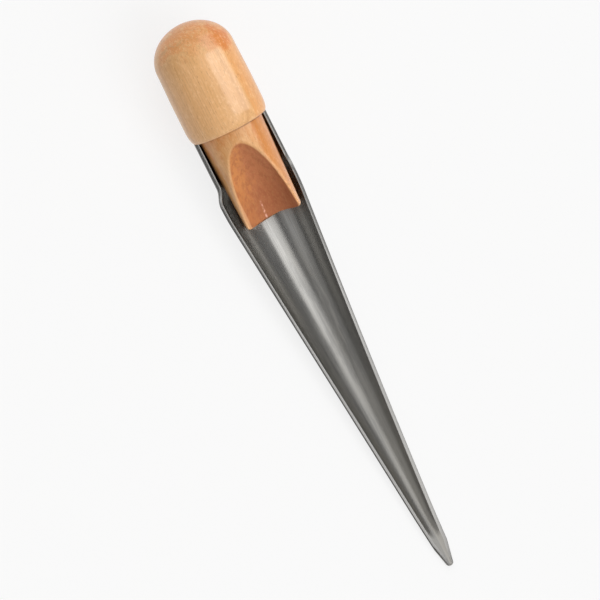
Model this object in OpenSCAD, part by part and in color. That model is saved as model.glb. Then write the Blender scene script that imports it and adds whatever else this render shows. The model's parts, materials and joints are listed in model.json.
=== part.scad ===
// Splicing fid: an open, gutter-shaped blade of stainless sheet on a turned wooden handle.
// Lengths along the fid are measured from the shoulder of the head, positive towards the tip.

/* [Head of the handle] */
// Diameter of the turned head
head_d = 35.5; // [33:0.5:40]
// Length of the head, from its shoulder to the top of its dome
head_len = 47.5; // [40:0.5:60]
// Height of the domed top
dome_len = 15; // [8:0.5:20]
// Length of the rounded edge next to the shoulder
edge_len = 6; // [1:0.5:8]
// How far that rounded edge draws in
edge_in = 1.65; // [0.5:0.05:2.5]

/* [Stem of the handle] */
// Length of the stem
stem_len = 42; // [34:0.5:48]
// How much thinner the stem's radius is at its end than at the shoulder
stem_fall = 1.6; // [0:0.1:2.5]
// Radius on the outer edge of the stem's end
stem_end_round = 1.2; // [0.4:0.1:2]

/* [Scoop in the stem] */
// Distance from the shoulder to where the scoop starts
scoop_start = 5.7; // [4:0.1:10]
// Radius of the gouge that cut the scoop
scoop_r = 13; // [11:0.1:15]
// Radius of the gouge's sweep, along the bottom of the scoop
scoop_sweep_r = 130; // [100:5:200]
// Depth of the scoop's bottom under the handle's axis, at the stem's end
scoop_end_drop = 3; // [0:0.1:5]
// Angle that the scoop is turned about the handle's axis, away from the blade's open side
scoop_turn = 17; // [0:1:20]

/* [Collar of the blade] */
// Thickness of the stainless sheet
sheet_t = 1.6; // [1:0.1:1.8]
// Length of the collar that holds the stem
collar_len = 20.5; // [14:0.5:22]
// How much smaller the collar's outer radius is than the head's
collar_step = 0.85; // [0.5:0.05:2]
// How much larger the collar's inner radius is than the stem's at the shoulder
collar_ease = 1.1; // [0.6:0.05:1.4]
// Depth of the collar's rims under the blade's axis
collar_rim_drop = 0.5; // [0.2:0.1:3]
// Angle at which the blade's axis rises from the handle's axis
blade_rise = 1.24; // [0:0.02:2]

/* [Trough of the blade] */
// Length of the blade, from the shoulder to the tip
blade_len = 207; // [160:1:260]
// Length of the flare between the collar and the trough
flare_len = 8.5; // [5:0.5:12]
// How far the flare widens the radius
flare_out = 2.05; // [0.5:0.05:3]
// Length of the rounded crest before the straight taper
crest_len = 10; // [4:1:20]
// Radius of the taper at the tip
tip_r = 3.05; // [2.5:0.05:4]
// Depth of the trough's rims under the blade's axis, at the flare
rim_drop = 5.2; // [3:0.1:7]
// The same depth at the tip
rim_drop_tip = 0.85; // [0.5:0.05:1.2]
// Extra depth of the rims halfway along
rim_sag = 1.1; // [0:0.1:1.5]

/* [Tongue at the tip] */
// Length of the solid tongue beyond the hollow
tongue_len = 13.5; // [8:0.5:20]
// Length over which the hollow's floor climbs to the tongue
hollow_climb = 7; // [3:0.5:12]
// Angle of the tongue's sides to the blade's axis
tongue_angle = 13.2; // [8:0.2:16]
// Radius of the tongue's rounded end
tongue_end_r = 1.15; // [1:0.05:2]

/* [Fixing screw] */
// Diameter of the countersunk wood screw behind the collar
screw_d = 3; // [2.5:0.5:3.5]
// Diameter of its head
screw_head_d = 6; // [5:0.5:7]
// Length of the screw, with its head
screw_len = 16; // [10:1:18]
// Length of its pointed end
screw_point = 4; // [2:0.5:5]
// Depth of the head's face under the back of the collar
screw_sink = 0.3; // [0.3:0.05:0.5]
// Width of the slot in the head
slot_w = 0.8; // [0.5:0.1:1]
// Depth of the slot
slot_deep = 0.7; // [0.4:0.1:0.9]

/* [Fits] */
// Gap between the stem's underside and the floor of the collar
stem_gap = 0.05; // [0.02:0.01:0.2]
// Gap between the head's shoulder and the end of the collar
shoulder_gap = 0.1; // [0.05:0.05:0.5]
// Gap round the screw in the sheet and in the wood
screw_gap = 0.05; // [0.02:0.01:0.2]

/* [Hidden] */

// Straight pieces that stand in for one curve
curve_steps = 12;
// How far a cutting shape runs past what it cuts
past = 2;

head_r = head_d / 2;
// The collar follows the head, and the stem fills the collar
collar_r = head_r - collar_step;
collar_r_in = collar_r - sheet_t;
stem_r = collar_r_in - collar_ease;
stem_end_r = stem_r - stem_fall;

crest_r = collar_r + flare_out;
flare_end = collar_len + flare_len;
crest_end = flare_end + crest_len;
// Fall of the trough's radius for each millimetre of length
taper = (crest_r - tip_r) / (blade_len - flare_end - crest_len / 2);
taper_angle = atan(taper);
hollow_end = blade_len - tongue_len;
hollow_full = hollow_end - hollow_climb;

// Height of the blade's axis over the handle's axis at the shoulder
axis_rise = collar_ease - stem_gap;
// The fid lies on the straight back of its trough
lie_angle = taper_angle + blade_rise;
line_r_at_shoulder = tip_r + taper * blade_len;
back_z = axis_rise * cos(lie_angle) - line_r_at_shoulder * cos(taper_angle);
dome_x = -(head_len - dome_len) * cos(lie_angle)
    - norm([dome_len * cos(lie_angle), head_r * sin(lie_angle)]);
tip_x = axis_rise * sin(lie_angle) + blade_len * cos(taper_angle)
    - rim_drop_tip * sin(taper_angle);

screw_x = collar_len / 2;
screw_back = collar_r - screw_sink;
screw_head_len = (screw_head_d - screw_d) / 2;

// Radius of the stem at a distance from the shoulder
function stem_r_at(x) = stem_r + (stem_end_r - stem_r) * x / stem_len;

scoop_top = stem_r_at(scoop_start);
scoop_angle = atan((scoop_top + scoop_end_drop) / (stem_len - scoop_start));
scoop_run = norm([scoop_top + scoop_end_drop, stem_len - scoop_start]);
// The gouge sweeps round a point this far above the middle of the scoop's bottom
scoop_sweep_rise = sqrt(pow(scoop_sweep_r, 2) - pow(scoop_run / 2, 2));
scoop_sweep_half = asin(scoop_run / 2 / scoop_sweep_r);

// A smooth step from 0 to 1
function ease(u) = (1 - cos(180 * u)) / 2;

// Outer radius of the trough past its flare
function trough_r(s) = s < crest_end
    ? crest_r - taper * pow(s - flare_end, 2) / (2 * crest_len)
    : tip_r + taper * (blade_len - s);

// Depth of the trough's rims under the blade's axis
function trough_rim(s) = let (u = (s - flare_end) / (blade_len - flare_end))
    rim_drop + (rim_drop_tip - rim_drop) * u + rim_sag * 4 * u * (1 - u);

// Outer outline of collar, flare and trough as [radius, distance], up to a given distance
function blade_outline(last) = concat(
    [[collar_r, -past], [collar_r, collar_len]],
    [for (i = [1 : curve_steps])
        [collar_r + flare_out * ease(i / curve_steps), collar_len + flare_len * i / curve_steps]],
    [for (i = [1 : curve_steps])
        let (s = flare_end + crest_len * i / curve_steps) [trough_r(s), s]],
    [[trough_r(last), last]]
);

// Rounded climb of the hollow's floor, as [radius, distance]
function hollow_climb_outline() = [for (i = [1 : curve_steps])
    let (a = 90 * i / curve_steps)
    [(trough_r(hollow_full) - sheet_t) * cos(a), hollow_full + hollow_climb * sin(a)]];

// Places a shape drawn along the blade's axis, which starts at the shoulder
module on_blade_axis() {
    translate([0, 0, axis_rise])
        rotate([0, -blade_rise, 0])
            children();
}

// Places a shape drawn along the handle's axis on the surface that the fid lies on
module lay_down() {
    translate([-(dome_x + tip_x) / 2, 0, -back_z])
        rotate([0, lie_angle, 0])
            children();
}

// Turns an outline of [radius, distance] round the X axis
module turned(outline) {
    rotate([0, 90, 0])
        rotate_extrude($fn = 96)
            polygon(outline);
}

module handle_blank() {
    dome = [for (i = [0 : curve_steps])
        let (a = 90 * i / curve_steps)
        [head_r * sin(a), -(head_len - dome_len) - dome_len * cos(a)]];
    edge = [for (i = [0 : curve_steps])
        let (a = 90 * i / curve_steps)
        [head_r - edge_in * (1 - cos(a)), -edge_len + edge_len * sin(a)]];
    end_edge = [for (i = [0 : curve_steps])
        let (a = 90 * i / curve_steps)
        [stem_end_r - stem_end_round * (1 - cos(a)), stem_len - stem_end_round * (1 - sin(a))]];
    turned(concat(dome, edge, [[stem_r, 0]], end_edge, [[0, stem_len]]));
}

module scoop_cut() {
    before = scoop_sweep_half + atan(past / scoop_sweep_r);
    after = scoop_sweep_half + atan(scoop_r / scoop_sweep_r);
    rotate([scoop_turn, 0, 0])
        translate([(scoop_start + stem_len) / 2, 0, (scoop_top - scoop_end_drop) / 2])
            rotate([0, scoop_angle, 0])
                translate([0, 0, scoop_sweep_rise])
                    rotate([90, 0, 0])
                        rotate([0, 0, -90 - before])
                            rotate_extrude(angle = before + after, $fn = 720)
                                translate([scoop_sweep_r - scoop_r, 0])
                                    circle(r = scoop_r, $fn = 96);
}

// The screw's own shape, or with a gap the hole for it, point upwards
module screw_shape(gap) {
    core_r = screw_d / 2 + gap;
    top_r = screw_head_d / 2 + gap;
    rotate_extrude($fn = 48)
        polygon([
            [0, -gap * past],
            [top_r, -gap * past],
            [top_r, gap],
            [core_r, screw_head_len + gap],
            [core_r, screw_len - screw_point + gap],
            [gap, screw_len + gap],
            [0, screw_len + gap]
        ]);
}

// Places a shape drawn along the screw's axis, from the back of the collar into the stem
module on_screw_axis() {
    on_blade_axis()
        translate([screw_x, 0, -screw_back])
            children();
}

// Clears the sheet behind the screw's head
module screw_mouth() {
    on_screw_axis()
        translate([0, 0, -screw_sink - past])
            cylinder(h = screw_sink + past, r = screw_head_d / 2 + screw_gap, $fn = 48);
}

module handle() {
    color("burlywood")
        lay_down()
            difference() {
                handle_blank();
                scoop_cut();
                on_screw_axis()
                    screw_shape(screw_gap);
            }
}

// The outer skin of the blade, a full turned shape before the rims are cut
module blade_skin() {
    turned(concat([[0, -past]], blade_outline(blade_len), [[0, blade_len]]));
}

// The inside of the gutter, up to the tongue
module blade_hollow() {
    inner = [for (p = blade_outline(hollow_full)) [p[0] - sheet_t, p[1]]];
    turned(concat([[0, -2 * past], [collar_r_in, -2 * past]], inner, hollow_climb_outline()));
}

// Everything under the line of the rims, seen from the side
module under_rims() {
    flare = [for (i = [0 : curve_steps])
        let (u = i / curve_steps)
        [collar_len + flare_len * u, -collar_rim_drop - (rim_drop - collar_rim_drop) * ease(u)]];
    trough = [for (i = [1 : curve_steps])
        let (s = flare_end + (blade_len - flare_end) * i / curve_steps)
        [s, -trough_rim(s)]];
    below = crest_r + past;
    rotate([90, 0, 0])
        linear_extrude(height = 2 * below, center = true)
            polygon(concat(
                [[-past, -collar_rim_drop]],
                flare,
                trough,
                [[blade_len, -below], [-past, -below]]
            ));
}

// Outline of the blade seen from above, which only cuts the tongue
module tongue_outline() {
    centre = blade_len - tongue_end_r;
    turn = 90 - tongue_angle;
    end = [for (i = [-curve_steps : curve_steps])
        let (a = turn * i / curve_steps)
        [centre + tongue_end_r * cos(a), tongue_end_r * sin(a)]];
    wide = crest_r + past;
    back = centre - (wide - tongue_end_r) / tan(tongue_angle);
    translate([0, 0, -wide])
        linear_extrude(height = 2 * wide)
            polygon(concat([[-past, -wide], [back, -wide]], end, [[back, wide], [-past, wide]]));
}

// Everything on the tip's side of the shoulder
module past_shoulder() {
    side = 2 * head_d;
    translate([shoulder_gap, -side / 2, -side / 2])
        cube([blade_len + side, side, side]);
}

module blade() {
    color("silver")
        lay_down()
            difference() {
                intersection() {
                    on_blade_axis()
                        intersection() {
                            blade_skin();
                            under_rims();
                            tongue_outline();
                        }
                    past_shoulder();
                }
                on_blade_axis()
                    blade_hollow();
                on_screw_axis()
                    screw_shape(screw_gap);
                screw_mouth();
            }
}

module fixing_screw() {
    color("gray")
        lay_down()
            on_screw_axis()
                difference() {
                    screw_shape(0);
                    translate([-screw_head_d, -slot_w / 2, -past])
                        cube([2 * screw_head_d, slot_w, slot_deep + past]);
                }
}

handle();
blade();
fixing_screw();
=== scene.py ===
import json
import math

import bmesh
import bpy
from bpy.props import FloatProperty, FloatVectorProperty, IntProperty, PointerProperty
from mathutils import Matrix, Vector


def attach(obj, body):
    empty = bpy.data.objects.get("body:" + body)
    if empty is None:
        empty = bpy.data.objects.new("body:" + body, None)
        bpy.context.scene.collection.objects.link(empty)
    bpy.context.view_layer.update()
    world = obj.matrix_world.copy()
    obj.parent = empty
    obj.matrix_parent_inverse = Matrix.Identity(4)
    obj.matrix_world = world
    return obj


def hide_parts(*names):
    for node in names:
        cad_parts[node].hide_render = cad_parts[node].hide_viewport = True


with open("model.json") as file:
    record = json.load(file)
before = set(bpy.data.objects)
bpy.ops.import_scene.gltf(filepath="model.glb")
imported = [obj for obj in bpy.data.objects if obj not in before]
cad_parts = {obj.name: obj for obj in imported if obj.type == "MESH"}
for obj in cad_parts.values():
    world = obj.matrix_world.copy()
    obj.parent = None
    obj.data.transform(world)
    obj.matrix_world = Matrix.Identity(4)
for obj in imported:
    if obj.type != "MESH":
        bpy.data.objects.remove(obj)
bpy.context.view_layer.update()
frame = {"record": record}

bl_info = {
    "name": "Splicing Fid",
    "version": (1, 0, 0),
    "blender": (4, 5, 0),
    "location": "View3D > Sidebar > Splicing Fid",
    "description": "Makes an open steel splicing fid with a turned, varnished handle",
    "category": "Add Mesh",
}

MM = 0.001
# The grip is the straight part of the head, and the record gives its axis and its middle
GRIP = next(m for m in frame["record"]["mounts"] if m["name"] == "grip")
GRIP_AXIS = Vector(GRIP["axis"])
QUARTER = math.pi / 2
# Points closer than this are merged
MERGE = 0.001 * MM
# Keeps a division from failing where the sheet has run out
TINY = 1e-9


def length(name, description, millimetres):
    """A length that a user can change, given here in millimetres."""
    return FloatProperty(
        name=name, description=description, default=millimetres * MM, unit="LENGTH", precision=5
    )


def angle(name, description, degrees):
    """An angle that a user can change, given here in degrees."""
    return FloatProperty(
        name=name, description=description, default=math.radians(degrees), subtype="ANGLE"
    )


def colour(name, description, red, green, blue):
    """A colour that a user can change."""
    return FloatVectorProperty(
        name=name, description=description, default=(red, green, blue),
        subtype="COLOR", min=0, max=1,
    )


class FidHandleSizes(bpy.types.PropertyGroup):
    """Sizes of the turned handle, measured from the shoulder of its head."""

    head_r: length("Head radius", "Radius of the turned head", GRIP["dims"]["r_mm"])
    head_len: length("Head length", "From the shoulder to the top of the dome", 47.5)
    dome_len: length("Dome", "Height of the domed top", 15)
    head_fall: length("Head fall", "How much thinner the head is where its dome starts", 0.25)
    edge_len: length("Edge length", "Length of the rounded edge next to the shoulder", 6)
    edge_in: length("Edge depth", "How far the rounded edge draws in", 1.65)
    stem_r: length("Stem radius", "Radius of the stem at the shoulder", 14.2)
    stem_fall: length("Stem fall", "How much thinner the stem is at its end", 1.6)
    stem_len: length("Stem length", "From the shoulder to the end of the stem", 42)
    end_round: length("End rounding", "Radius on the outer edge of the stem's end", 1.2)
    scoop_start: length("Scoop start", "From the shoulder to where the scoop starts", 5.7)
    scoop_r: length("Gouge radius", "Radius of the gouge that cut the scoop", 13)
    scoop_sweep_r: length("Gouge sweep", "Radius of the gouge's sweep along the scoop", 130)
    scoop_drop: length("Scoop depth", "Depth of the scoop under the axis at the stem's end", 3)
    scoop_turn: angle("Scoop turn", "Angle that the scoop is turned about the handle's axis", 15.5)
    scoop_round: length("Scoop rim", "Half the width of the rounding on the scoop's rim", 0.8)
    scoop_lip: length("Scoop lip", "How far the scoop's lip is worn back in its middle", 0.8)
    around: IntProperty(name="Steps around", description="Faces round the handle", default=288)


class FidBladeSizes(bpy.types.PropertyGroup):
    """Sizes of the gutter blade, measured along its own axis from the shoulder."""

    sheet: length("Sheet", "Thickness of the stainless sheet", 1.6)
    rise: angle("Rise", "Angle at which the blade's axis rises from the handle's", 1.24)
    axis_rise: length("Axis height", "Height of the blade's axis over the handle's", 1.05)
    shoulder_gap: length("Shoulder gap", "Gap between the head and the collar", 0.1)
    collar_r: length("Collar radius", "Outer radius of the collar", 16.9)
    collar_len: length("Collar length", "Length of the collar that holds the stem", 20.5)
    collar_drop: length("Collar rim", "Depth of the collar's rims under the blade's axis", 0.5)
    flare_len: length("Flare length", "Length of the flare between collar and trough", 8.5)
    flare_out: length("Flare", "How far the flare widens the radius", 2.05)
    crest_len: length("Crest", "Length of the rounded crest before the straight taper", 10)
    blade_len: length("Blade length", "From the shoulder to the tip", 207)
    tip_r: length("Tip radius", "Radius of the taper at the tip", 3.05)
    rim_drop: length("Rim depth", "Depth of the trough's rims under the axis at the flare", 5.2)
    rim_drop_tip: length("Rim depth at the tip", "The same depth at the tip", 0.85)
    rim_sag: length("Rim sag", "Extra depth of the rims halfway along", 1.1)
    rim_out: length("Outer rim rounding", "Radius on the right rim's outer edge", 0.36)
    rim_worn: length("Worn rim rounding", "Radius on the left rim's worn outer edge", 0.75)
    rim_in: length("Inner rim rounding", "Radius on the inner edges of the rims", 0.16)
    rim_tilt: angle("Rim tilt", "How far the faces of the rims tilt outwards at the collar", 12)
    rim_tilt_tip: angle("Rim tilt at the tip", "The same tilt at the tip", 4)
    tongue_len: length("Tongue length", "Length of the solid tongue beyond the hollow", 13.5)
    hollow_climb: length("Climb", "Length over which the hollow's floor climbs to the tongue", 15)
    hollow_curve: length("Hollow's end", "How far the middle of the hollow outruns its sides", 2)
    tongue_angle: angle("Tongue angle", "Angle of the tongue's sides to the axis", 13.2)
    tongue_end_r: length("Tongue end", "Radius of the tongue's rounded end", 1.5)
    tongue_crown: length("Tongue crown", "How far the middle of the tongue stands up", 0.22)
    tongue_lean: length("Tongue lean", "How far the worn tip has wandered to the right", 0.3)
    nose: length("Nose", "Length over which the tip rounds off from the side", 1.1)
    columns: IntProperty(name="Columns", description="Faces across half of the sheet", default=26)


class FidScrewSizes(bpy.types.PropertyGroup):
    """Sizes of the countersunk screw behind the collar."""

    shank_r: length("Shank radius", "Radius of the screw", 1.5)
    head_r: length("Head radius", "Radius of its head", 3)
    screw_len: length("Screw length", "Length with the head", 16)
    point_len: length("Point", "Length of its pointed end", 4)
    sink: length("Sink", "Depth of the head's face under the back of the collar", 0.3)
    slot_w: length("Slot width", "Width of the slot in the head", 0.8)
    slot_deep: length("Slot depth", "Depth of the slot", 0.7)
    gap: length("Gap", "Gap round the screw in the sheet and in the wood", 0.05)


class FidColours(bpy.types.PropertyGroup):
    """Colours of the varnished wood, the steel and the floor."""

    wood_pale: colour("Pale wood", "Palest clouds of the wood", 0.8, 0.45, 0.2)
    wood_tan: colour("Tan wood", "Darker clouds of the wood", 0.7, 0.38, 0.155)
    wood_late: colour("Rings", "Late wood of the yearly rings", 0.52, 0.25, 0.09)
    wood_heart: colour("Heartwood", "Orange heartwood on the right", 0.78, 0.35, 0.11)
    wood_bright: colour("Pores", "Pale flecks between the fibres", 0.93, 0.62, 0.34)
    wood_soaked: colour("End grain", "Varnish-soaked end grain of the dome", 0.76, 0.28, 0.075)
    wood_pool: colour("Pooled varnish", "Red patch of varnish on the dome", 0.7, 0.205, 0.036)
    wood_blush: colour("Blush", "Pink patch beside the red one", 0.82, 0.4, 0.23)
    wood_stem: colour("Stem", "Orange patches of the stem", 0.6, 0.205, 0.042)
    # Corner: dirt and painted shade in the corner under the head
    wood_corner_dirt_and_shade: colour("Corner", "Dirt in the corner under the head", 0.22, 0.09, 0.03)
    # Varnish run: a painted highlight on a run of varnish by the lip
    wood_run_highlight: colour("Varnish run", "The bright run of varnish by the lip", 0.84, 0.46, 0.34)
    wood_scoop: colour("Scoop", "The scoop's cut fibres", 0.5, 0.175, 0.072)
    wood_scoop_left: colour("Scoop's left", "The scoop's worn left side", 0.6, 0.23, 0.072)
    wood_scoop_dark: colour("Scoop's dark", "Dark mottling of the scoop", 0.36, 0.108, 0.044)
    # Scoop's rim: worn wood with a painted highlight
    wood_rim_worn_and_highlit: colour("Scoop's rim", "Worn rim of the scoop", 0.86, 0.5, 0.26)
    wood_fleck: colour("Flecks", "Short dark flecks", 0.42, 0.18, 0.07)
    steel_dark: colour("Dark steel", "Darker bands of the blade", 0.5, 0.49, 0.465)
    steel_pale: colour("Pale steel", "Paler bands of the blade", 0.62, 0.61, 0.59)
    steel_line: colour("Polishing lines", "Fine lines along the blade", 0.42, 0.41, 0.39)
    steel_warm: colour("Warm steel", "Clouds left by handling", 0.56, 0.53, 0.475)
    # Worn steel: dulled by ropes, and darkened with painted shade towards the tip
    steel_dulled_and_shaded: colour("Worn steel", "The blade's worn half towards the tip", 0.33, 0.32, 0.295)
    # Wall steel: the tone of the streaks, and a painted shade on the trough's inner walls
    steel_streak_and_wall_shade: colour("Wall steel", "Unpolished inner walls of the trough", 0.31, 0.305, 0.295)
    # Rim steel: rubbed bright by ropes, and a painted highlight
    steel_rim_rubbed_and_highlit: colour("Rim steel", "The rims, rubbed bright by ropes", 0.62, 0.61, 0.59)
    # Edge dirt: a painted shade along the left outer edge
    steel_left_edge_shade: colour("Edge dirt", "Dirt along the left outer edge", 0.1, 0.1, 0.095)
    screw_dark: colour("Screw, dark", "Turning marks of the screw", 0.42, 0.41, 0.4)
    screw_pale: colour("Screw, pale", "Face of the screw", 0.56, 0.55, 0.53)
    floor: colour("Floor", "Colour of the pale floor", 0.96, 0.96, 0.955)


class FidStage(bpy.types.PropertyGroup):
    """The photograph's camera and the studio round the fid."""

    lean: angle("Lean", "How far the camera leans from square on, towards the head", 8.7)
    roll: angle("Roll", "How far the fid is rolled away from the camera", 13)
    turn: angle("Turn", "Angle of the fid to the picture's upright", 26.47)
    distance: length("Distance", "From the camera to the fid", 2500)
    view_width: length("View width", "Width that the picture shows at the fid", 249.8)
    aim_across: length("Aim across", "How far the picture's middle lies left of the fid's", 6.77)
    aim_down: length("Aim down", "How far the picture's middle lies below the fid's", 1.25)
    aim_height: length("Aim height", "Height of the fid's middle that the camera turns round", 15)
    floor_lift: FloatProperty(
        name="Floor lift", description="Share of white that lightens the floor", default=0.78,
        subtype="FACTOR", min=0, max=1,
    )


def ease(u):
    """A smooth step from 0 to 1."""
    u = min(1.0, max(0.0, u))
    return (1 - math.cos(math.pi * u)) / 2


def spread(start, end, count):
    """Evenly spaced values after the start, up to and with the end."""
    return [start + (end - start) * (i + 1) / count for i in range(count)]


def handle_place():
    """Matrix from the handle's own frame, along its axis from the shoulder, to the row frame."""
    sizes = bpy.context.scene.fid_handle
    middle = (sizes.head_len - sizes.dome_len + sizes.edge_len) / 2
    shoulder = Vector(GRIP["pos_m"]) - GRIP_AXIS * middle
    lie = math.atan2(GRIP_AXIS.z, -GRIP_AXIS.x)
    return Matrix.Translation(shoulder) @ Matrix.Rotation(lie, 4, "Y")


def blade_place():
    """Matrix from the blade's own frame, along its axis from the shoulder, to the row frame."""
    blade = bpy.context.scene.fid_blade
    up = Matrix.Translation((0, 0, blade.axis_rise))
    return handle_place() @ up @ Matrix.Rotation(-blade.rise, 4, "Y")


def screw_place():
    """Matrix from the screw's own frame, along its axis from its head's face, to the row frame."""
    blade = bpy.context.scene.fid_blade
    screw = bpy.context.scene.fid_screw
    foot = Matrix.Translation((blade.collar_len / 2, 0, screw.sink - blade.collar_r))
    return blade_place() @ foot


def make_object(name, bm, place, sharp):
    """A smooth object of a mesh, in its place. Edges beyond an angle in degrees stay sharp."""
    bmesh.ops.transform(bm, matrix=place, verts=bm.verts)
    bmesh.ops.recalc_face_normals(bm, faces=bm.faces)
    mesh = bpy.data.meshes.new(name)
    bm.to_mesh(mesh)
    bm.free()
    for polygon in mesh.polygons:
        polygon.use_smooth = True
    mesh.set_sharp_from_angle(angle=math.radians(sharp))
    piece = bpy.data.objects.new(name, mesh)
    bpy.context.scene.collection.objects.link(piece)
    return piece


def finish_piece(piece, node, material):
    """Gives a piece its material, and lets it stand for its CAD node."""
    piece.data.materials.append(material)
    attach(piece, "root")
    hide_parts(node)


def spin_outline(outline, steps):
    """A mesh turned round the X axis from an outline of (distance, radius)."""
    bm = bmesh.new()
    verts = [bm.verts.new((x, 0, r)) for x, r in outline]
    edges = [bm.edges.new(pair) for pair in zip(verts, verts[1:])]
    bmesh.ops.spin(
        bm, geom=verts + edges, axis=(1, 0, 0), cent=(0, 0, 0),
        angle=math.tau, steps=steps, use_merge=True,
    )
    bmesh.ops.remove_doubles(bm, verts=bm.verts, dist=MERGE)
    return bm


def cut_away(piece, cutter):
    """Cuts one object out of another, and removes the cutter."""
    cut = piece.modifiers.new("cut", "BOOLEAN")
    cut.operation = "DIFFERENCE"
    cut.solver = "EXACT"
    cut.object = cutter
    evaluated = piece.evaluated_get(bpy.context.evaluated_depsgraph_get())
    mesh = bpy.data.meshes.new_from_object(evaluated)
    if not mesh.polygons:
        raise RuntimeError(f"The cut left nothing of {piece.name}")
    piece.modifiers.clear()
    spare = [piece.data, cutter.data]
    piece.data = mesh
    bpy.data.objects.remove(cutter)
    for old in spare:
        bpy.data.meshes.remove(old)
    mesh.name = piece.name


class NodeBench:
    """Short ways to build the nodes of a material or a world."""

    def __init__(self, owner):
        owner.use_nodes = True
        self.owner = owner
        self.nodes = owner.node_tree.nodes

    def feed(self, socket, value):
        """Links a socket to an input, or sets the input to a value or a named colour."""
        if isinstance(value, bpy.types.NodeSocket):
            self.owner.node_tree.links.new(value, socket)
        elif isinstance(value, str):
            socket.default_value = (*getattr(bpy.context.scene.fid_colours, value), 1.0)
        else:
            socket.default_value = value

    def fill(self, node, **inputs):
        """Feeds a node's inputs, named with underscores for their spaces."""
        for key, value in inputs.items():
            self.feed(node.inputs[key.replace("_", " ")], value)
        return node

    def add(self, kind, settings=None, **inputs):
        """Adds a node with its settings and its inputs."""
        node = self.nodes.new(kind)
        for key, value in (settings or {}).items():
            setattr(node, key, value)
        return self.fill(node, **inputs)

    def shade(self, **inputs):
        """Feeds the material's own shader, and returns the material."""
        self.fill(self.nodes["Principled BSDF"], **inputs)
        return self.owner

    def maths(self, operation, *values):
        """The result of one sum."""
        node = self.add("ShaderNodeMath", {"operation": operation})
        for socket, value in zip(node.inputs, values):
            self.feed(socket, value)
        return node.outputs[0]

    def product(self, first, *others):
        """Several numbers multiplied together."""
        for other in others:
            first = self.maths("MULTIPLY", first, other)
        return first

    def vectors(self, operation, first, second=(0.0, 0.0, 0.0)):
        """The result of one sum of vectors, which is a number for a length or a distance."""
        node = self.add("ShaderNodeVectorMath", {"operation": operation})
        self.feed(node.inputs[0], first)
        self.feed(node.inputs[1], second)
        return node.outputs["Value" if operation in ("LENGTH", "DISTANCE") else "Vector"]

    def step(self, value, low, high, start=0.0, end=1.0):
        """A smooth step of a value: start where it is low, end where it is high."""
        node = self.add(
            "ShaderNodeMapRange", {"interpolation_type": "SMOOTHSTEP"},
            Value=value, From_Min=low, From_Max=high, To_Min=start, To_Max=end,
        )
        return node.outputs["Result"]

    def steps(self, *rows):
        """Several smooth steps multiplied together, each a row of value, low, high, start, end."""
        return self.product(*(self.step(*row) for row in rows))

    def noise(self, spot, stretch, detail=3.0, roughness=0.5):
        """Noise on a vector, with each direction stretched by itself."""
        node = self.add(
            "ShaderNodeTexNoise", Vector=self.vectors("MULTIPLY", spot, stretch),
            Scale=1.0, Detail=detail, Roughness=roughness,
        )
        return node.outputs["Fac"]

    def blend(self, share, first, second):
        """One colour mixed into another by a share."""
        node = self.add("ShaderNodeMix", {"data_type": "RGBA"}, Factor=share, A=first, B=second)
        return node.outputs["Result"]

    def bump(self, strength, millimetres, **inputs):
        """The normal that a height gives."""
        node = self.add("ShaderNodeBump", Strength=strength, Distance=millimetres * MM, **inputs)
        return node.outputs["Normal"]

    def attribute(self, name):
        """A number that the mesh keeps at its points."""
        return self.add("ShaderNodeAttribute", {"attribute_name": name}).outputs["Fac"]

    def place(self, matrix):
        """Coordinates in millimetres in a piece's own frame."""
        node = self.add(
            "ShaderNodeMapping", {"vector_type": "TEXTURE"},
            Vector=self.add("ShaderNodeTexCoord").outputs["Object"],
            Location=matrix.to_translation(), Rotation=matrix.to_euler(), Scale=(MM, MM, MM),
        )
        return node.outputs["Vector"]

    def split(self, vector):
        """The X, Y and Z of a vector."""
        return self.add("ShaderNodeSeparateXYZ", Vector=vector).outputs

    def off_axis(self, spot):
        """Distance of a point from its frame's X axis."""
        return self.vectors("LENGTH", self.vectors("MULTIPLY", spot, (0.0, 1.0, 1.0)))


# The noises in the wood: how much each varies along, across and up the handle in a millimetre,
# how detailed it is and how rough
WOOD_NOISES = {
    "wander": ((0.012, 0.05, 0.05), 2.0, 0.5),
    "drift": ((0.02, 0.06, 0.06), 2.0, 0.5),
    "wobble": ((0.03, 0.25, 0.25), 3.0, 0.5),
    "patches": ((0.24, 0.24, 0.24), 6.0, 0.7),
    "blots": ((0.1, 0.28, 0.28), 4.0, 0.6),
    "wear": ((0.22, 0.42, 0.42), 4.0, 0.6),
    "mottle": ((0.28, 0.5, 0.5), 4.0, 0.6),
    "beads": ((0.9, 0.9, 0.9), 3.0, 0.5),
    "fibre": ((0.05, 2.2, 2.2), 4.0, 0.6),
    "pores": ((0.5, 1.1, 1.1), 3.0, 0.7),
    "fleck": ((0.55, 2.6, 2.6), 2.0, 0.5),
    "swell": ((0.05, 0.11, 0.11), 1.0, 0.5),
}
# The way from the heart of the rings to the handle's axis, in millimetres
RING_HEART = (0.0, -24.0, 38.0)
# How much of the way from light to dark wood the rings cover in a millimetre
RING_PACE = 0.36
# Where varnish pooled on the dome: the patch's middle and its size in millimetres, how strongly
# it shows, and its colour
POOLS = (
    ((-37.0, 4.6, 15.8), 4.2, 0.6, "wood_blush"),
    ((-35.5, 11.0, 12.6), 5.4, 0.85, "wood_pool"),
    ((-41.5, 8.0, 9.5), 3.4, 0.8, "wood_pool"),
)
# The steel's fine lines, broad bands and streaks in the same way, along the blade and round it
STEEL_LINES = (
    ((0.018, 5.0, 1.0), 4.0, 0.6), ((0.01, 0.45, 1.0), 2.0, 0.5), ((0.045, 0.62, 1.0), 4.0, 0.7)
)
# A distance from the shoulder at which the blade's taper is already straight
TAPER_START = 50 * MM


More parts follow.
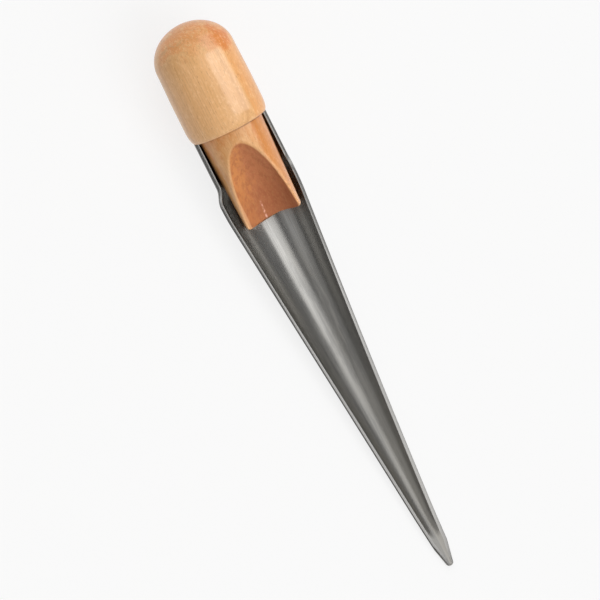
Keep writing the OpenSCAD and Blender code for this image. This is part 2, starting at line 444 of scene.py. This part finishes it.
class WoodBench(NodeBench):
    """A bench for the handle's wood, with places in millimetres, noises and colours."""

    def __init__(self):
        super().__init__(bpy.data.materials.new("varnished wood"))
        self.spot = self.place(handle_place())
        self.x, self.y, self.z = self.split(self.spot)
        self.noises = {name: self.noise(self.spot, *row) for name, row in WOOD_NOISES.items()}

    def timber(self):
        """Yearly rings round a heart that lies beside the handle, in slow clouds of two tones."""
        drift = self.step(self.noises["drift"], 0.36, 0.64)
        base = self.blend(drift, "wood_pale", "wood_tan")
        slant = self.vectors("MULTIPLY", self.spot, (0.03, 1.0, 1.0))
        radius = self.vectors("LENGTH", self.vectors("ADD", slant, RING_HEART))
        radius = self.maths("MULTIPLY_ADD", self.noises["wander"], 9.0, radius)
        ring = self.maths("PINGPONG", self.maths("MULTIPLY_ADD", radius, RING_PACE, 0.5), 1.0)
        return self.blend(self.step(ring, 0.62, 0.97, 0.0, 0.4), base, "wood_late")

    def heartwood(self):
        """Share of the darker heartwood, which begins at a plane on the right of the handle."""
        side = self.maths("MULTIPLY_ADD", self.z, -1.08, self.y)
        side = self.maths("MULTIPLY_ADD", self.noises["wobble"], 3.0, side)
        return self.step(side, -7.6, -5.6)

    def varnish_dome(self, base):
        """Varnish soaked into the end grain near the top of the dome, and pooled on its right."""
        patches = self.noises["patches"]
        on_dome = self.step(self.x, -30.0, -45.0)
        soaked = self.maths("MULTIPLY_ADD", on_dome, 0.13, patches)
        soaked = self.product(self.step(soaked, 0.52, 0.64, 0.0, 0.72), on_dome)
        base = self.blend(soaked, base, "wood_soaked")
        for middle, size, share, tone in POOLS:
            away = self.vectors("DISTANCE", self.spot, middle)
            edge = self.maths("MULTIPLY_ADD", patches, -9.0, away)
            pool = self.step(edge, size - 3.2, size - 6.4, 0.0, share)
            base = self.blend(pool, base, tone)
        return base

    def varnish_stem(self, heart, base):
        """The stem's varnish, in patches and all along its right side, and dirt with painted shade
        in the corner under the head.
        """
        blots = self.maths("MULTIPLY_ADD", heart, 0.24, self.noises["blots"])
        blots = self.step(blots, 0.42, 0.68, 0.12, 0.74)
        blots = self.product(blots, self.step(self.x, -0.4, 0.4))
        base = self.blend(blots, base, "wood_stem")
        # Dirt and painted shade darken the corner under the head, more on the right
        corner = self.steps(
            (self.x, 1.0, 0.45), (self.x, -0.1, 0.0), (self.off_axis(self.spot), 16.3, 15.0),
            (self.y, -7.0, 5.0, 0.25, 0.62),
        )
        return self.blend(corner, base, "wood_corner_dirt_and_shade")

    def cut_fibres(self):
        """The scoop's cut fibres, lighter on the worn left side and darker towards the lip, with a
        painted highlight on a run of varnish.
        """
        noises = self.noises
        worn = self.step(self.maths("MULTIPLY_ADD", noises["wear"], 13.0, self.y), 5.0, -0.5)
        base = self.blend(worn, "wood_scoop", "wood_scoop_left")
        mottle = self.step(noises["mottle"], 0.42, 0.64, 0.0, 0.55)
        base = self.blend(mottle, base, "wood_scoop_dark")
        base = self.blend(self.step(self.x, 20.0, 38.0, 0.0, 0.5), base, "wood_scoop_dark")
        # Painted highlight: one run of varnish by the lip is painted pale where it catches the
        # light
        beside = self.maths("MULTIPLY_ADD", noises["wobble"], 1.2, self.maths("ADD", self.y, 1.6))
        run = self.steps(
            (self.maths("ABSOLUTE", beside), 0.62, 0.12), (self.x, 32.5, 35.5),
            (noises["beads"], 0.42, 0.56, 0.15, 0.9),
        )
        return self.blend(run, base, "wood_run_highlight")

    def scoop_rim(self, inwards):
        """Share of the pale rim round the scoop, worn wood with a painted highlight, which is
        widest on the left of the lip.
        """
        wide = self.steps((self.y, 1.0, -6.0), (self.x, 22.0, 40.0, 0.0, 1.5))
        inner = self.maths("SUBTRACT", inwards, wide)
        return self.steps((inwards, -1.3, -0.3), (inner, 0.7, -0.1), (self.x, 9.0, 17.0, 0.0, 0.6))


def varnished_wood():
    """Light hardwood under a clear varnish, its grain along the handle."""
    wood = WoodBench()
    noises = wood.noises
    inwards = wood.attribute("scoop_inwards")
    gouged = wood.step(inwards, -0.1, 0.9)
    heart = wood.heartwood()
    base = wood.blend(wood.product(heart, 0.72), wood.timber(), "wood_heart")
    base = wood.varnish_stem(heart, wood.varnish_dome(base))
    base = wood.blend(gouged, base, wood.cut_fibres())
    # The scoop's rim is painted pale: worn wood and a painted highlight
    base = wood.blend(wood.scoop_rim(inwards), base, "wood_rim_worn_and_highlit")
    # Fine fibres all over, pale pores outside the scoop and short flecks
    base = wood.blend(wood.step(noises["fibre"], 0.45, 0.72, 0.0, 0.46), base, "wood_late")
    pores = wood.steps((noises["pores"], 0.49, 0.7, 0.0, 0.42), (wood.x, -0.5, 0.5, 1.0, 0.5))
    pores = wood.product(pores, wood.maths("SUBTRACT", 1.0, gouged))
    base = wood.blend(pores, base, "wood_bright")
    base = wood.blend(wood.step(noises["fleck"], 0.6, 0.72, 0.0, 0.5), base, "wood_fleck")
    # The varnish has sunk a little into the grain, and lies in slow waves
    sunk = wood.product(noises["fibre"], wood.step(gouged, 0.0, 1.0, 0.5, 1.6))
    sunk = wood.maths("MULTIPLY_ADD", noises["fleck"], 0.5, sunk)
    waves = wood.bump(0.5, 0.2, Height=noises["swell"])
    return wood.shade(
        Base_Color=base, Specular_IOR_Level=0.25, Roughness=wood.step(gouged, 0.0, 1.0, 0.42, 0.62),
        Coat_Weight=wood.step(gouged, 0.0, 1.0, 0.55, 0.1), Coat_Roughness=0.14, Coat_Normal=waves,
        Normal=wood.bump(0.25, 0.06, Height=sunk, Normal=waves),
    )


def stainless_sheet():
    """Satin stainless steel with fine polishing lines that run together towards the tip."""
    steel = NodeBench(bpy.data.materials.new("stainless sheet"))
    sizes = bpy.context.scene.fid_blade
    spot = steel.place(blade_place())
    x, y, z = steel.split(spot)
    # The lines follow the angle round the taper, and the taper's own radius
    taper = (trough_r(sizes, TAPER_START) - sizes.tip_r) / (sizes.blade_len - TAPER_START)
    radius = steel.maths("MULTIPLY_ADD", x, -taper, (sizes.tip_r + taper * sizes.blade_len) / MM)
    spin = steel.maths("ARCTAN2", y, steel.product(z, -1.0))
    lines = steel.add(
        "ShaderNodeCombineXYZ", X=x, Y=steel.product(spin, 10.0), Z=steel.product(radius, 0.1)
    ).outputs[0]
    fine, broad, streaks = (steel.noise(lines, *row) for row in STEEL_LINES)
    base = steel.blend(steel.step(broad, 0.3, 0.7), "steel_dark", "steel_pale")
    base = steel.blend(steel.step(fine, 0.3, 0.7, 0.0, 0.45), base, "steel_line")
    # Slight clouds all over, as handled steel has
    cloud = steel.noise(spot, (0.03, 0.08, 0.08))
    base = steel.blend(steel.step(cloud, 0.4, 0.7, 0.0, 0.35), base, "steel_warm")
    # Ropes have dulled the half towards the tip, which is also darkened with painted shade, and
    # left longer and wider streaks there
    near_tip = steel.steps((x, 125.0, 150.0), (x, 196.0, 186.0, 0.0, 0.26))
    worn = steel.maths("ADD", steel.step(x, 50.0, 130.0, 0.0, 0.4), near_tip)
    base = steel.blend(worn, base, "steel_dulled_and_shaded")
    streaks = steel.steps((streaks, 0.44, 0.62), (x, 40.0, 120.0, 0.3, 0.7))
    base = steel.blend(streaks, base, "steel_streak_and_wall_shade")
    # Painted shade: the inner walls are darkened, most of all the right one
    outwards = steel.maths("SUBTRACT", steel.off_axis(spot), radius)
    wall = steel.steps(
        (steel.maths("ABSOLUTE", spin), 0.5, 0.86), (spin, -0.4, 0.4, 0.2, 0.84),
        (outwards, -0.5, -1.1), (x, 24.0, 34.0),
    )
    base = steel.blend(wall, base, "steel_streak_and_wall_shade")
    # Warm on the right towards the tip
    warm = steel.steps((spin, -0.1, 0.4), (x, 90.0, 160.0, 0.0, 0.45))
    base = steel.blend(warm, base, "steel_warm")
    # The rims are pale, rubbed by ropes and given a painted highlight, and a painted shade lies on
    # the left outer edge
    rim = steel.attribute("rim_tone")
    bright = steel.steps((rim, 0.2, 0.9), (x, 30.0, 100.0, 0.0, 0.85))
    base = steel.blend(bright, base, "steel_rim_rubbed_and_highlit")
    base = steel.blend(steel.step(rim, -0.1, -0.8, 0.0, 0.8), base, "steel_left_edge_shade")
    dull = steel.step(x, 55.0, 135.0, 0.0, 0.17)
    rough = steel.maths("ADD", steel.step(fine, 0.25, 0.75, 0.2, 0.26), dull)
    return steel.shade(
        Base_Color=base, Metallic=1.0, Roughness=steel.maths("MULTIPLY_ADD", broad, 0.06, rough),
        Normal=steel.bump(0.12, 0.02, Height=fine),
    )


def screw_steel():
    """Plain machined steel."""
    steel = NodeBench(bpy.data.materials.new("screw steel"))
    turning = steel.noise(steel.place(screw_place()), (3.0, 3.0, 0.4))
    return steel.shade(
        Base_Color=steel.blend(turning, "screw_dark", "screw_pale"), Metallic=1.0,
        Roughness=steel.step(turning, 0.2, 0.8, 0.28, 0.4),
    )


# How many steps the handle's outline takes over each of its parts
OUTLINE_STEPS = {"dome": 28, "head": 24, "edge": 12, "shoulder": 6, "stem": 150, "corner": 6}
# The mesh keeps the distance to the scoop's rim up to this many millimetres either way
RIM_REACH = 5.0
# The gouge leaves alone what lies this near the shoulder or the handle's middle plane, or beyond
# this share of its own radius
SHOULDER_CLEAR = 0.01 * MM
PLANE_CLEAR = 0.1 * MM
GOUGE_SHARE = 0.98
# The rounding on the scoop's rim reaches no further than this up or down
DEEPEST_ROUNDING = 3 * MM
# The lip is worn back over this width on either side of its middle, and over this length
LIP_HALF = 9 * MM
LIP_REACH = 6 * MM


def handle_outline(sizes):
    """Outline of the handle as (distance, radius), from the top of the dome to the stem's end."""
    steps = OUTLINE_STEPS
    top = sizes.head_len - sizes.dome_len
    dome_r = sizes.head_r - sizes.head_fall
    dome = [
        (-top - sizes.dome_len * math.cos(a), dome_r * math.sin(a))
        for a in [0.0] + spread(0, QUARTER, steps["dome"])
    ]
    head = [
        (x, dome_r + sizes.head_fall * ease(2 + 2 * x / top))
        for x in spread(-top, -sizes.edge_len, steps["head"])
    ]
    edge = [
        (sizes.edge_len * (math.sin(a) - 1), sizes.head_r - sizes.edge_in * (1 - math.cos(a)))
        for a in spread(0, QUARTER, steps["edge"])
    ]
    shoulder = [(0.0, r) for r in spread(edge[-1][1], sizes.stem_r, steps["shoulder"])]
    run = sizes.stem_len - sizes.end_round
    stem = [(x, stem_r_at(sizes, x)) for x in spread(0, run, steps["stem"])]
    corner = [
        (run + sizes.end_round * math.sin(a), stem[-1][1] - sizes.end_round * (1 - math.cos(a)))
        for a in spread(0, QUARTER, steps["corner"])
    ]
    return dome + head + edge + shoulder + stem + corner


def stem_r_at(sizes, x):
    """Radius of the stem at a distance from the shoulder."""
    return sizes.stem_r - sizes.stem_fall * x / sizes.stem_len


def scoop_floor(sizes, x, y):
    """Height of the surface that the gouge leaves, and how steeply it falls along the stem."""
    top = stem_r_at(sizes, sizes.scoop_start)
    run = Vector((sizes.stem_len - sizes.scoop_start, -top - sizes.scoop_drop))
    rise = math.sqrt(sizes.scoop_sweep_r ** 2 - run.length_squared / 4)
    square = Vector((-run.y, run.x)).normalized()
    centre = Vector((sizes.scoop_start, top)) + run / 2 + square * rise
    reach = sizes.scoop_sweep_r - sizes.scoop_r + math.sqrt(sizes.scoop_r ** 2 - y ** 2)
    below = math.sqrt(reach ** 2 - (x - centre.x) ** 2)
    return centre.y - below, (centre.x - x) / below


def gouge_scoop(bm, sizes):
    """Presses the top of the stem down onto the gouge's surface, with a rounded rim between."""
    turn = Matrix.Rotation(sizes.scoop_turn, 3, "X")
    bmesh.ops.rotate(bm, cent=(0, 0, 0), matrix=turn.transposed(), verts=bm.verts)
    inwards = bm.verts.layers.float.new("scoop_inwards")
    for vert in bm.verts:
        x, y, z = vert.co
        vert[inwards] = -RIM_REACH
        if x < SHOULDER_CLEAR or z < PLANE_CLEAR or abs(y) > GOUGE_SHARE * sizes.scoop_r:
            continue
        floor, fall = scoop_floor(sizes, x, y)
        across = abs(y) / z + abs(y) / math.sqrt(sizes.scoop_r ** 2 - y ** 2)
        steepness = math.hypot(across, fall)
        vert[inwards] = min(RIM_REACH, max(-RIM_REACH, (z - floor) / steepness / MM))
        blend = min(sizes.scoop_round * steepness, DEEPEST_ROUNDING)
        overlap = max(0.0, blend - abs(z - floor))
        if floor < z:
            middle = max(0.0, 1 - (y / LIP_HALF) ** 2)
            lip = middle * ease(1 - (sizes.stem_len - x) / LIP_REACH)
            vert.co.x -= sizes.scoop_lip * lip
        vert.co.z = min(z, floor) - overlap ** 2 / (4 * blend)
    bmesh.ops.rotate(bm, cent=(0, 0, 0), matrix=turn, verts=bm.verts)


class FID_OT_handle(bpy.types.Operator):
    """Makes the turned handle with its scooped stem"""

    bl_idname = "fid.handle"
    bl_label = "Handle"

    def execute(self, context):
        sizes = context.scene.fid_handle
        bm = spin_outline(handle_outline(sizes), sizes.around)
        gouge_scoop(bm, sizes)
        # The scooped end of the stem is closed with one flat face
        bmesh.ops.contextual_create(bm, geom=[e for e in bm.edges if e.is_boundary])
        handle = make_object("handle_turned", bm, handle_place(), sharp=35)
        finish_piece(handle, "handle", varnished_wood())
        cut_away(handle, screw_cutter())
        return {"FINISHED"}


# How many steps the blade takes over its collar, flare, crest, trough and tongue, then its nose
BLADE_STEPS = (18, 18, 10, 70, 64)
NOSE_STEPS = 10
# Columns of faces that round each edge of the rims
EDGE_COLUMNS = 5
# In the middle the hollow's floor has climbed to the tongue at this share of the tongue's length
# from the tip, and two powers bend the climb at its foot and at its head
HOLLOW_END = 0.85
CLIMB_FOOT = 2.5
CLIMB_HEAD = 1.7
# The most of the rim's face that a rounded edge takes: inside, outside right and outside left
INNER_SHARE = 0.4
RIGHT_SHARE = 0.22
LEFT_SHARE = 0.46
# Length of the wall from the bottom to the rim, in radii
WALL_ARC = 1.2
# Shares of a rounded edge, counted from the rim's face, where the painted shade starts and every
# tone ends
SHADE_START = 0.05
TONE_END = 0.9


def trough_r(sizes, s):
    """Outer radius of the blade at a distance from the shoulder."""
    flare_end = sizes.collar_len + sizes.flare_len
    crest_r = sizes.collar_r + sizes.flare_out
    taper = (crest_r - sizes.tip_r) / (sizes.blade_len - flare_end - sizes.crest_len / 2)
    if s < flare_end:
        return sizes.collar_r + sizes.flare_out * ease((s - sizes.collar_len) / sizes.flare_len)
    if s < flare_end + sizes.crest_len:
        return crest_r - taper * (s - flare_end) ** 2 / (2 * sizes.crest_len)
    return sizes.tip_r + taper * (sizes.blade_len - s)


def rim_depth(sizes, s):
    """Depth of the rims under the blade's axis at a distance from the shoulder."""
    flare_end = sizes.collar_len + sizes.flare_len
    if s < flare_end:
        fall = sizes.rim_drop - sizes.collar_drop
        return sizes.collar_drop + fall * ease((s - sizes.collar_len) / sizes.flare_len)
    u = (s - flare_end) / (sizes.blade_len - flare_end)
    straight = sizes.rim_drop + (sizes.rim_drop_tip - sizes.rim_drop) * u
    return straight + sizes.rim_sag * 4 * u * (1 - u)


def tongue_half(sizes, s):
    """Half width of the tongue's outline, seen from above."""
    left = max(0.0, sizes.blade_len - s)
    lean = math.sin(sizes.tongue_angle)
    end_r = sizes.tongue_end_r
    if left < end_r * (1 - lean):
        return math.sqrt(max(0.0, end_r ** 2 - (end_r - left) ** 2))
    return (end_r + (left - end_r) * lean) / math.cos(sizes.tongue_angle)


def sheet_surface(sizes, s, share, inside):
    """Place across and up of the sheet's inner or outer side, from bottom (0) to rim (1)."""
    outer_r = trough_r(sizes, s)
    limit = tongue_half(sizes, s)
    drop = rim_depth(sizes, s)
    rim = min(limit, outer_r * math.sin(math.acos(drop / outer_r)))
    lean = sizes.rim_tilt + (sizes.rim_tilt_tip - sizes.rim_tilt) * s / sizes.blade_len
    tilt = min(sizes.sheet, rim) / 2 * math.tan(lean)
    if not inside:
        turn = math.acos(min(1.0, (drop + tilt) / outer_r)) * share
        return Vector((min(outer_r * math.sin(turn), limit), -outer_r * math.cos(turn)))
    r = outer_r - sizes.sheet
    turn = math.acos(min(1.0, max(0.0, drop - tilt) / r)) * share
    round_wall = Vector((r * math.sin(turn), -r * math.cos(turn)))
    # The hollow's round wall goes over into the tongue's flat, slightly crowned face
    flat_y = (rim - min(sizes.sheet, rim / 2)) * share
    crown = sizes.tongue_crown * (1 - (flat_y / rim) ** 2) if rim > 0 else 0.0
    middle_start = sizes.blade_len - HOLLOW_END * sizes.tongue_len - sizes.hollow_climb
    start = middle_start - sizes.hollow_curve * share ** 2
    run = min(1.0, max(0.0, (s - start) / sizes.hollow_climb))
    hollow = (1 - run ** CLIMB_FOOT) ** CLIMB_HEAD
    return Vector((flat_y, crown - drop)).lerp(round_wall, hollow)


def blade_point(sizes, s, v, inside, band):
    """Place of one point of the sheet, inside or outside, v running from rim to rim as -1 to 1."""
    side, q = math.copysign(1, v), abs(v)
    corner = sheet_surface(sizes, s, 1.0, inside)
    across = sheet_surface(sizes, s, 1.0, not inside) - corner
    if inside:
        rounding, most = sizes.rim_in, INNER_SHARE
    elif v > 0:
        rounding, most = sizes.rim_out, RIGHT_SHARE
    else:
        rounding, most = sizes.rim_worn, LEFT_SHARE
    edge = min(rounding, most * across.length)
    foot = 1 - edge / max(edge, trough_r(sizes, s) * WALL_ARC)
    if q > 1 - band:
        # The rounded edge bends from the foot on the wall to a place on the rim's face
        u = (1 - q) / band
        on_rim = corner + across * (edge / max(across.length, TINY))
        on_wall = sheet_surface(sizes, s, foot, inside)
        y, z = on_rim * (1 - u) ** 2 + corner * 2 * u * (1 - u) + on_wall * u ** 2
    else:
        y, z = sheet_surface(sizes, s, foot * q / (1 - band), inside)
    ahead = s - (sizes.blade_len - sizes.nose)
    if ahead > 0:
        nose = math.sqrt(max(0.0, 1 - (ahead / sizes.nose) ** 2))
        middle = -(rim_depth(sizes, s) + trough_r(sizes, s)) / 2
        z = middle + (z - middle) * nose
    drift = sizes.tongue_lean * ease(1 - (sizes.blade_len - s) / (2 * sizes.tongue_len))
    return Vector((s, side * y + drift, z))


def rim_tone(v, inside, band):
    """Tone of the steel by the rims: 1 where ropes rub it bright and a painted highlight lies, -1
    for the painted shade on the left outer edge.
    """
    u = (1 - abs(v)) / band
    if u > TONE_END:
        return 0.0
    if inside or v > 0 or u < SHADE_START:
        return 1.0
    return -1.0


def blade_stations(sizes):
    """Distances along the blade at which the sheet has a row of points."""
    flare_end = sizes.collar_len + sizes.flare_len
    hollow = sizes.blade_len - sizes.tongue_len - sizes.hollow_climb - sizes.hollow_curve
    nose_start = sizes.blade_len - sizes.nose
    ends = (0.0, sizes.collar_len, flare_end, flare_end + sizes.crest_len, hollow, nose_start)
    stations = [0.0]
    for start, end, count in zip(ends, ends[1:], BLADE_STEPS):
        stations += spread(start, end, count)
    turns = spread(0, QUARTER, NOSE_STEPS)
    return stations + [nose_start + sizes.nose * math.sin(a) for a in turns]


class FID_OT_blade(bpy.types.Operator):
    """Makes the pressed gutter blade with its collar and tongue"""

    bl_idname = "fid.blade"
    bl_label = "Blade"

    def execute(self, context):
        sizes = context.scene.fid_blade
        stations = blade_stations(sizes)
        rows = len(stations) - 1
        band = EDGE_COLUMNS / sizes.columns
        bm = bmesh.new()
        bmesh.ops.create_grid(bm, x_segments=rows, y_segments=2 * sizes.columns, size=1)
        layers = bm.verts.layers.float
        along = layers.new("along")
        across = layers.new("across")
        tone = layers.new("rim_tone")
        for vert in bm.verts:
            vert[along] = round((vert.co.x + 1) / 2 * rows)
            vert[across] = vert.co.y
        pulled = bmesh.ops.extrude_face_region(bm, geom=bm.faces[:])
        inside = {v for v in pulled["geom"] if isinstance(v, bmesh.types.BMVert)}
        for vert in bm.verts:
            s = stations[round(vert[along])]
            vert.co = blade_point(sizes, s, vert[across], vert in inside, band)
            vert[tone] = rim_tone(vert[across], vert in inside, band)
            if s < sizes.collar_len / 2:
                # The end of the collar is square to the handle's axis, which the blade's rises from
                square = sizes.shoulder_gap + vert.co.z * math.sin(sizes.rise)
                vert.co.x += square / math.cos(sizes.rise) * (1 - 2 * s / sizes.collar_len)
        bmesh.ops.remove_doubles(bm, verts=bm.verts, dist=2 * MERGE)
        for name in ("along", "across"):
            layers.remove(layers[name])
        blade = make_object("blade_gutter", bm, blade_place(), sharp=38)
        finish_piece(blade, "blade", stainless_sheet())
        cut_away(blade, screw_cutter())
        return {"FINISHED"}


# Turns an outline along X to stand along Z
UPRIGHT = Matrix.Rotation(-QUARTER, 4, "Y")


def screw_outline(screw, gap):
    """Outline of the screw, or with a gap of its hole, as (distance, radius) from its head."""
    cone = screw.head_r - screw.shank_r
    return [
        (-gap, 0.0),
        (-gap, screw.head_r + gap),
        (gap, screw.head_r + gap),
        (cone + gap, screw.shank_r + gap),
        (screw.screw_len - screw.point_len + gap, screw.shank_r + gap),
        (screw.screw_len + gap, 0.0),
    ]


def screw_cutter():
    """A body that cuts the screw's hole and the sink behind its head."""
    screw = bpy.context.scene.fid_screw
    outline = screw_outline(screw, screw.gap)
    # Its mouth stands well clear of the back of the collar
    mouth = -4 * screw.sink
    outline[:2] = [(mouth, 0.0), (mouth, screw.head_r + screw.gap)]
    bm = spin_outline(outline, steps=48)
    return make_object("cutter", bm, screw_place() @ UPRIGHT, sharp=30)


def slot_cutter():
    """A block that cuts the slot in the screw's head, and stands out on both sides."""
    screw = bpy.context.scene.fid_screw
    bm = bmesh.new()
    bmesh.ops.create_cube(bm, size=1)
    size = (4 * screw.head_r, screw.slot_w, 2 * screw.slot_deep)
    bmesh.ops.scale(bm, vec=size, verts=bm.verts)
    return make_object("cutter", bm, screw_place(), sharp=30)


class FID_OT_screw(bpy.types.Operator):
    """Makes the countersunk screw behind the collar"""

    bl_idname = "fid.screw"
    bl_label = "Fixing screw"

    def execute(self, context):
        bm = spin_outline(screw_outline(context.scene.fid_screw, gap=0.0), steps=64)
        screw = make_object("fixing_screw_slotted", bm, screw_place() @ UPRIGHT, sharp=30)
        finish_piece(screw, "fixing_screw", screw_steel())
        cut_away(screw, slot_cutter())
        return {"FINISHED"}


# The fid's middle, which four softboxes point at
LAMPS_AIM = (0, 0, 0.01)
# How far in degrees each is tilted across the fid and leaned ahead along it, its distance, width
# and length in metres, and how bright its face looks
SOFTBOXES = {
    "key": (12, 2, 3.0, 4.0, 2.36, 0.98),
    "key_core": (22, 2, 3.1, 4.0, 1.0, 0.36),
    "fill_left": (-46, 2, 3.0, 3.0, 2.3, 0.38),
    "fill_right": (58, 2, 3.0, 3.0, 2.4, 0.18),
}
# Far lights beyond the fid's ends: tilt, lean and width in degrees, and brightness
END_LIGHTS = {"end_head": (12, -46, 54, 1.05), "end_tip": (12, 46, 54, 1.05)}
# A strip softbox for the right side of the handle, and where it points
STRIP = (39, 10, 0.6, 0.14, 0.6, 5.0)
STRIP_AIM = (-0.1035, 0, 0.0235)
# Brightness of the room, of its walls beyond the fid's ends and of the low wall all round
ROOM = 0.025
ROOM_ENDS = 0.5
LOW_WALL = 0.55


def photo_camera(view):
    """Sets the camera where the photograph was taken from."""
    turned = handle_place().to_3x3()
    toward = turned @ Vector((
        -math.sin(view.lean),
        -math.cos(view.lean) * math.sin(view.roll),
        math.cos(view.lean) * math.cos(view.roll),
    ))
    axis = turned @ Vector((1, 0, 0))
    along = (axis - axis.dot(toward) * toward).normalized()
    beside = toward.cross(along)
    right = math.sin(view.turn) * along + math.cos(view.turn) * beside
    down = math.cos(view.turn) * along - math.sin(view.turn) * beside
    target = Vector((0, 0, view.aim_height)) - right * view.aim_across + down * view.aim_down
    data = bpy.data.cameras.new("photo_camera")
    data.lens = data.sensor_width * view.distance / view.view_width
    data.clip_end = 100
    camera = bpy.data.objects.new("photo_camera", data)
    bpy.context.scene.collection.objects.link(camera)
    turn = Matrix((right, -down, toward)).transposed().to_4x4()
    camera.matrix_world = Matrix.Translation(target + toward * view.distance) @ turn
    bpy.context.scene.camera = camera


def lamp_direction(tilt, ahead):
    """Direction to a lamp, tilted across the fid and leaned ahead along it, in degrees."""
    tilt, ahead = math.radians(tilt), math.radians(ahead)
    return Vector((
        math.sin(ahead), math.cos(ahead) * math.sin(tilt), math.cos(ahead) * math.cos(tilt)
    ))


def add_lamp(name, kind, radiance, area):
    """A lamp whose face, of some area or share of the sky, looks as bright as asked for."""
    data = bpy.data.lights.new(name, kind)
    data.energy = radiance * math.pi * area
    lamp = bpy.data.objects.new(name, data)
    bpy.context.scene.collection.objects.link(lamp)
    return lamp


def soft_sun(name, tilt, ahead, width, radiance):
    """A large, even, far away light that nothing mirrors."""
    width = math.radians(width)
    lamp = add_lamp(name, "SUN", radiance, math.sin(width / 2) ** 2)
    lamp.data.angle = width
    lamp.rotation_euler = lamp_direction(tilt, ahead).to_track_quat("Z", "Y").to_euler()
    lamp.visible_glossy = False


def softbox(name, aim, tilt, ahead, distance, wide, long, radiance):
    """A rectangular softbox that points at a place, its length across the fid."""
    lamp = add_lamp(name, "AREA", radiance, wide * long)
    lamp.data.shape = "RECTANGLE"
    lamp.data.size, lamp.data.size_y = wide, long
    back = lamp_direction(tilt, ahead)
    along = (Vector((1, 0, 0)) - back * back.x).normalized()
    turn = Matrix((along, back.cross(along), back)).transposed().to_4x4()
    lamp.matrix_world = Matrix.Translation(Vector(aim) + back * distance) @ turn
    lamp.visible_camera = False
    return lamp


def studio_world():
    """A dim room with pale walls at both ends of the fid, and a low white wall all round."""
    world = bpy.data.worlds.new("studio")
    bpy.context.scene.world = world
    bench = NodeBench(world)
    x, _, z = bench.split(bench.add("ShaderNodeTexCoord").outputs["Generated"])
    room = bench.step(bench.maths("ABSOLUTE", x), 0.35, 0.7, ROOM, ROOM_ENDS)
    strength = bench.step(z, 0.06, 0.14, LOW_WALL, room)
    bench.fill(bench.nodes["Background"], Color=(1, 1, 1, 1), Strength=strength)


def pale_floor():
    """A matte floor, lightened where it is seen, so that the shadow on it stays faint."""
    bench = NodeBench(bpy.data.materials.new("floor"))
    bench.shade(Base_Color="floor", Roughness=1.0, Specular_IOR_Level=0.0)
    path = bench.add("ShaderNodeLightPath").outputs
    seen = bench.maths("MAXIMUM", path["Is Camera Ray"], path["Is Glossy Ray"])
    seen = bench.maths("MAXIMUM", seen, path["Is Transmission Ray"])
    lift = bench.add("ShaderNodeMixShader")
    bench.feed(lift.inputs[0], bench.product(seen, bpy.context.scene.fid_stage.floor_lift))
    bench.feed(lift.inputs[1], bench.nodes["Principled BSDF"].outputs[0])
    bench.feed(lift.inputs[2], bench.add("ShaderNodeEmission", Strength=1.0).outputs[0])
    bench.fill(bench.nodes["Material Output"], Surface=lift.outputs[0])
    return bench.owner


class FID_OT_stage(bpy.types.Operator):
    """Sets the camera, the lamps and the pale floor"""

    bl_idname = "fid.stage"
    bl_label = "Stage"

    def execute(self, context):
        photo_camera(context.scene.fid_stage)
        for name, row in SOFTBOXES.items():
            softbox(name, LAMPS_AIM, *row)
        for name, row in END_LIGHTS.items():
            soft_sun(name, *row)
        # The strip lights the handle alone, as if flagged off the steel
        lit = bpy.data.collections.new("lit_by_strip")
        lit.objects.link(bpy.data.objects["handle_turned"])
        softbox("strip", STRIP_AIM, *STRIP).light_linking.receiver_collection = lit
        studio_world()
        bm = bmesh.new()
        bmesh.ops.create_circle(bm, cap_ends=True, radius=8, segments=96)
        mesh = bpy.data.meshes.new("floor")
        bm.to_mesh(mesh)
        bm.free()
        mesh.materials.append(pale_floor())
        floor = bpy.data.objects.new("floor", mesh)
        context.scene.collection.objects.link(floor)
        context.scene.view_settings.view_transform = "Standard"
        return {"FINISHED"}


class FID_PT_panel(bpy.types.Panel):
    """Lists the fid's pieces and its sizes"""

    bl_idname = "FID_PT_panel"
    bl_label = "Splicing Fid"
    bl_space_type = "VIEW_3D"
    bl_region_type = "UI"
    bl_category = "Splicing Fid"

    def draw(self, context):
        for operator in OPERATORS:
            self.layout.operator(operator.bl_idname)
        for name, group in GROUPS.items():
            box = self.layout.box()
            box.label(text=group.__doc__)
            for key in group.__annotations__:
                box.prop(getattr(context.scene, name), key)


GROUPS = {
    "fid_handle": FidHandleSizes,
    "fid_blade": FidBladeSizes,
    "fid_screw": FidScrewSizes,
    "fid_colours": FidColours,
    "fid_stage": FidStage,
}
OPERATORS = (FID_OT_handle, FID_OT_blade, FID_OT_screw, FID_OT_stage)


def register():
    for name, group in GROUPS.items():
        bpy.utils.register_class(group)
        setattr(bpy.types.Scene, name, PointerProperty(type=group))
    for item in OPERATORS + (FID_PT_panel,):
        bpy.utils.register_class(item)


def unregister():
    for item in reversed(OPERATORS + (FID_PT_panel,)):
        bpy.utils.unregister_class(item)
    for name, group in reversed(GROUPS.items()):
        delattr(bpy.types.Scene, name)
        bpy.utils.unregister_class(group)


def main():
    register()
    bpy.ops.fid.handle()
    bpy.ops.fid.blade()
    bpy.ops.fid.screw()
    bpy.ops.fid.stage()


if __name__ == "__main__":
    main()
